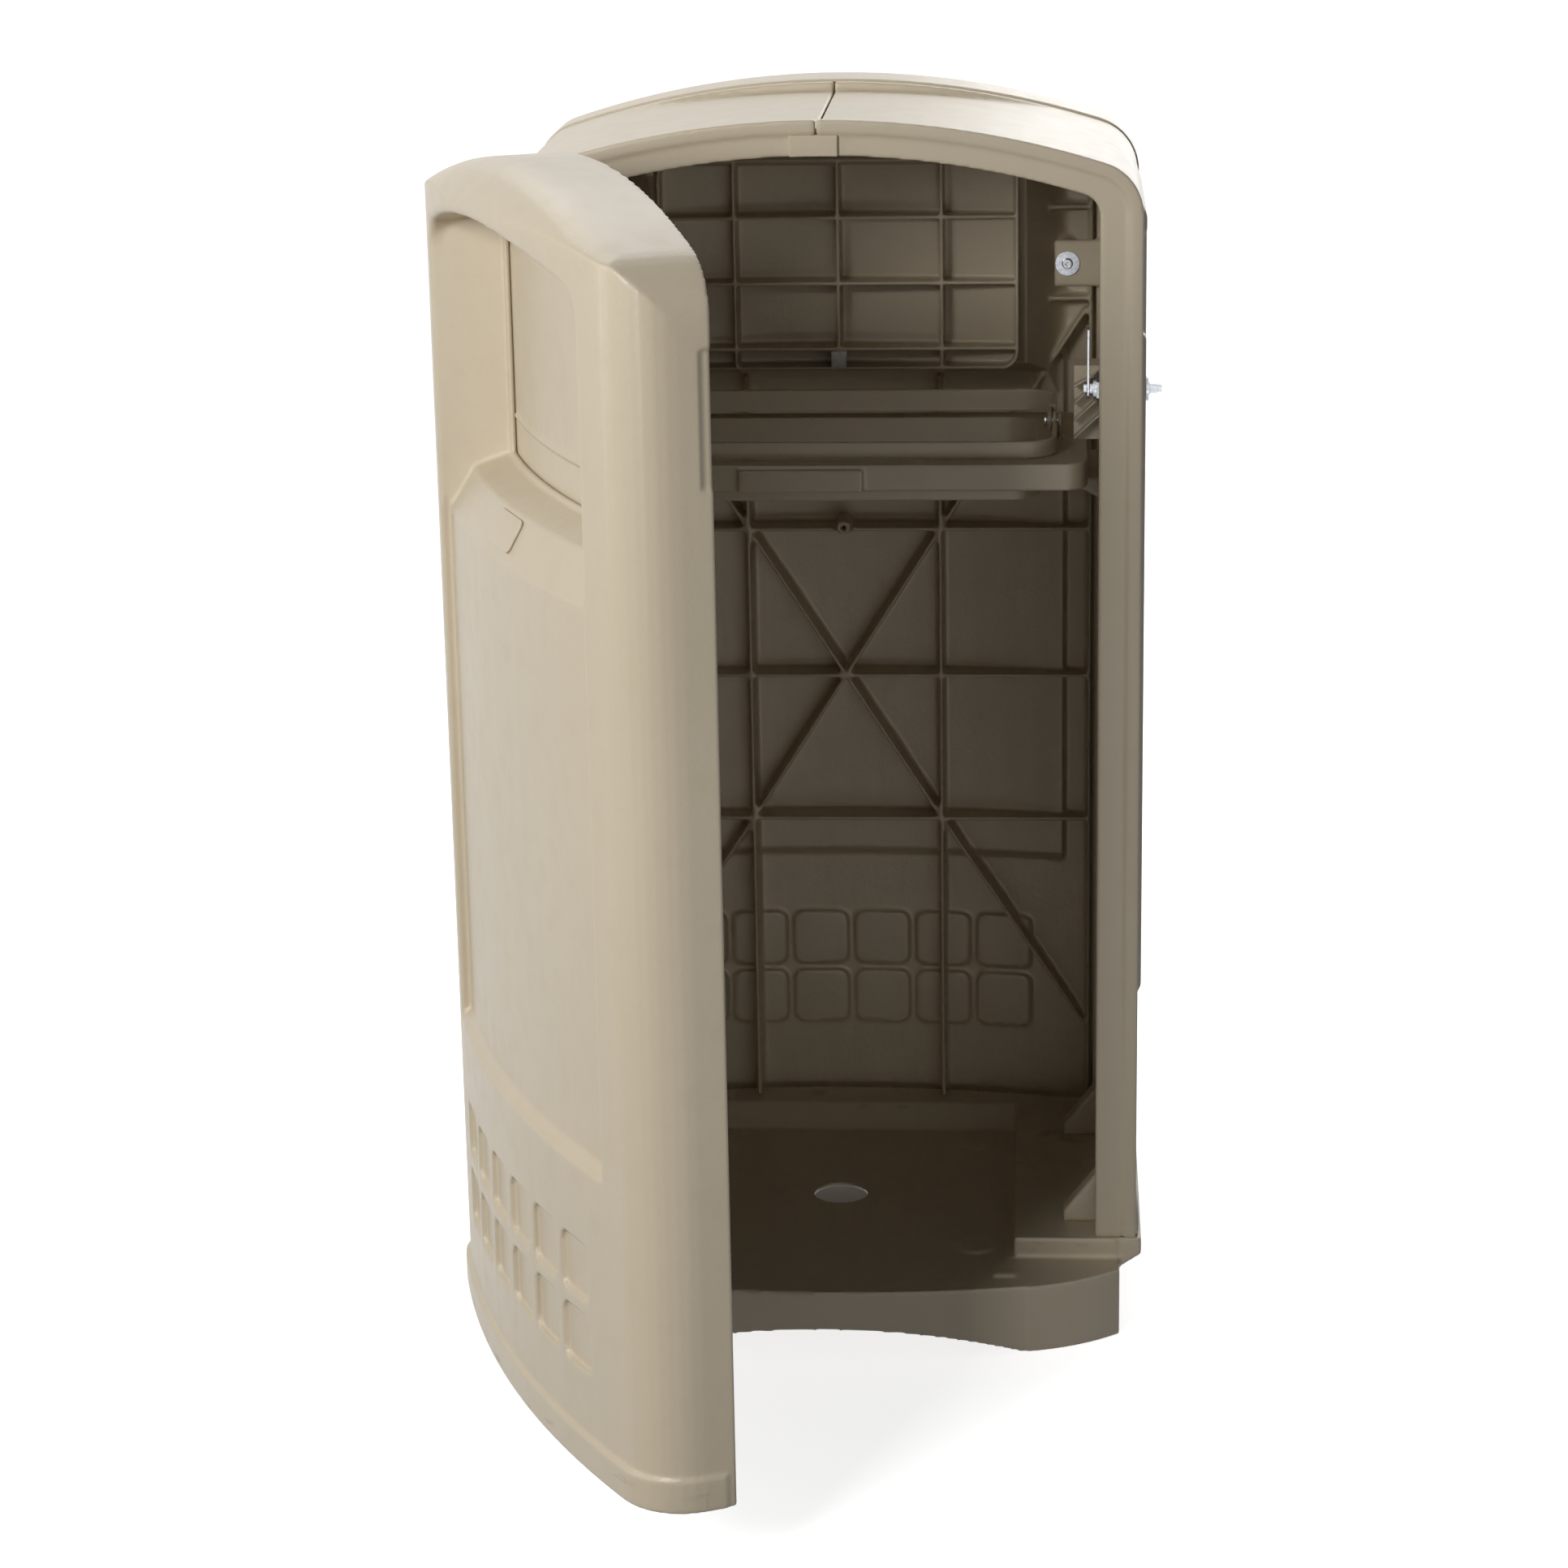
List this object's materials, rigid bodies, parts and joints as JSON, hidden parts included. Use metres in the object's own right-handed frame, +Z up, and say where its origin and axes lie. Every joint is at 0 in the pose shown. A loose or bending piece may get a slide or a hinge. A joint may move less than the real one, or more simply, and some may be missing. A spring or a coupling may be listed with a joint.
{
  "type": "outdoor litter container",
  "caption": "Floor-standing moulded litter container: arched roof, hinged front door standing open, swing flaps, bag ring frame and hooked cam lock.",
  "frame": {"origin": "centre of the drain hole at the upper face of the base's pan floor; the feet stand 62 mm lower", "axes": "+Z up, +X to the right seen from the front, +Y to the back; the front door faces -Y when closed"},
  "size_m": [0.6069, 0.915, 1.072],
  "materials": {
    "moulded_plastic": "fine-grained structural foam moulding",
    "zinc_steel": "bright zinc plate",
    "clear_tab": "translucent bumper"
  },
  "bodies": {
    "body": {"base": "moulded_plastic", "side_panel_left": "moulded_plastic", "side_panel_right": "moulded_plastic", "roof_clip_front": "moulded_plastic", "roof_clip_rear": "moulded_plastic", "rear_panel": "moulded_plastic", "rear_washers": "zinc_steel", "rear_screws": "zinc_steel", "rear_flap_rod": "zinc_steel", "bag_frame": "moulded_plastic", "bag_ring_pins": "zinc_steel", "guide_block_left": "moulded_plastic", "guide_block_right": "moulded_plastic", "lock_body": "zinc_steel", "lock_nut": "zinc_steel", "hinge_pin_upper": "zinc_steel", "hinge_pin_lower": "zinc_steel"},
    "door": {"door_shell": "moulded_plastic", "door_flap_rod": "zinc_steel", "door_strike": "zinc_steel", "strike_pin": "zinc_steel", "strike_screws": "zinc_steel"},
    "door_flap": {"door_flap": "moulded_plastic", "door_flap_tab": "clear_tab"},
    "rear_flap": {"rear_flap": "moulded_plastic", "rear_flap_tab": "clear_tab"},
    "ring_front": {"bag_ring_front": "moulded_plastic"},
    "ring_rear": {"bag_ring_rear": "moulded_plastic"},
    "lock_rotor": {"lock_plug": "zinc_steel", "lock_cam": "zinc_steel", "lock_cam_screw": "zinc_steel", "lock_key": "zinc_steel"}
  },
  "joints": [
    {"name": "door_hinge", "type": "hinge", "parent": "body", "child": "door", "pos_m": [-0.266, -0.1565, 0.108], "axis": [0, 0, -1], "range_deg": [-66.5, 25]},
    {"name": "door_flap_hinge", "type": "hinge", "parent": "door", "child": "door_flap", "pos_m": [-0.16956, -0.40463, 0.93774], "axis": [0.3987, -0.9171, 0], "range_deg": [0, 40]},
    {"name": "rear_flap_hinge", "type": "hinge", "parent": "body", "child": "rear_flap", "pos_m": [0, 0.164, 0.93774], "axis": [-1, 0, 0], "range_deg": [0, 40]},
    {"name": "ring_front_lift", "type": "hinge", "parent": "body", "child": "ring_front", "pos_m": [0, 0, 0.728], "axis": [-1, 0, 0], "range_deg": [0, 70]},
    {"name": "ring_rear_lift", "type": "hinge", "parent": "body", "child": "ring_rear", "pos_m": [0, 0, 0.728], "axis": [1, 0, 0], "range_deg": [0, 70]},
    {"name": "lock_turn", "type": "hinge", "parent": "body", "child": "lock_rotor", "pos_m": [0.25, -0.105, 0.776], "axis": [1, 0, 0], "range_deg": [0, 90]}
  ]
}
